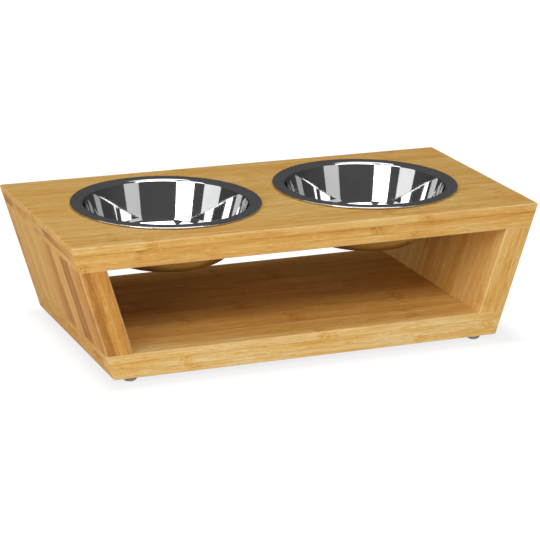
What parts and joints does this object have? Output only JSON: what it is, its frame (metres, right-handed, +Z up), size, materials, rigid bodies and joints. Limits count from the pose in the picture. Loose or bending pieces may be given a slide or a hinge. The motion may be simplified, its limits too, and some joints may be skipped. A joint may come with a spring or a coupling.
{
  "type": "elevated dog feeder",
  "caption": "Low wooden pet feeding stand, wider at the top, that holds lift-out steel bowls over an open storage shelf.",
  "frame": {"origin": "on the floor under the middle of the stand: bottom centre of the bounding box", "axes": "+X runs along the stand to its right end, seen from the front; -Y faces the front; +Z is up"},
  "size_m": [0.3992, 0.196, 0.1161],
  "materials": {
    "bamboo": "satin lacquer over laminated bamboo",
    "bowl_steel": "mirror-polished stainless steel",
    "dowel_wood": "bare beech",
    "clear_rubber": "clear soft silicone"
  },
  "bodies": {
    "stand": {"top_board": "bamboo", "bottom_board": "bamboo", "left_side_panel": "bamboo", "right_side_panel": "bamboo", "top_left_dowels": "dowel_wood", "top_right_dowels": "dowel_wood", "bottom_left_dowels": "dowel_wood", "bottom_right_dowels": "dowel_wood", "front_left_foot": "clear_rubber", "front_right_foot": "clear_rubber", "back_left_foot": "clear_rubber", "back_right_foot": "clear_rubber"},
    "left_bowl": {"left_bowl": "bowl_steel"},
    "right_bowl": {"right_bowl": "bowl_steel"}
  },
  "joints": [
    {"name": "left_bowl_lift", "type": "slide", "parent": "stand", "child": "left_bowl", "axis": [0, 0, 1], "range_m": [0, 0.06]},
    {"name": "right_bowl_lift", "type": "slide", "parent": "stand", "child": "right_bowl", "axis": [0, 0, 1], "range_m": [0, 0.06]}
  ]
}
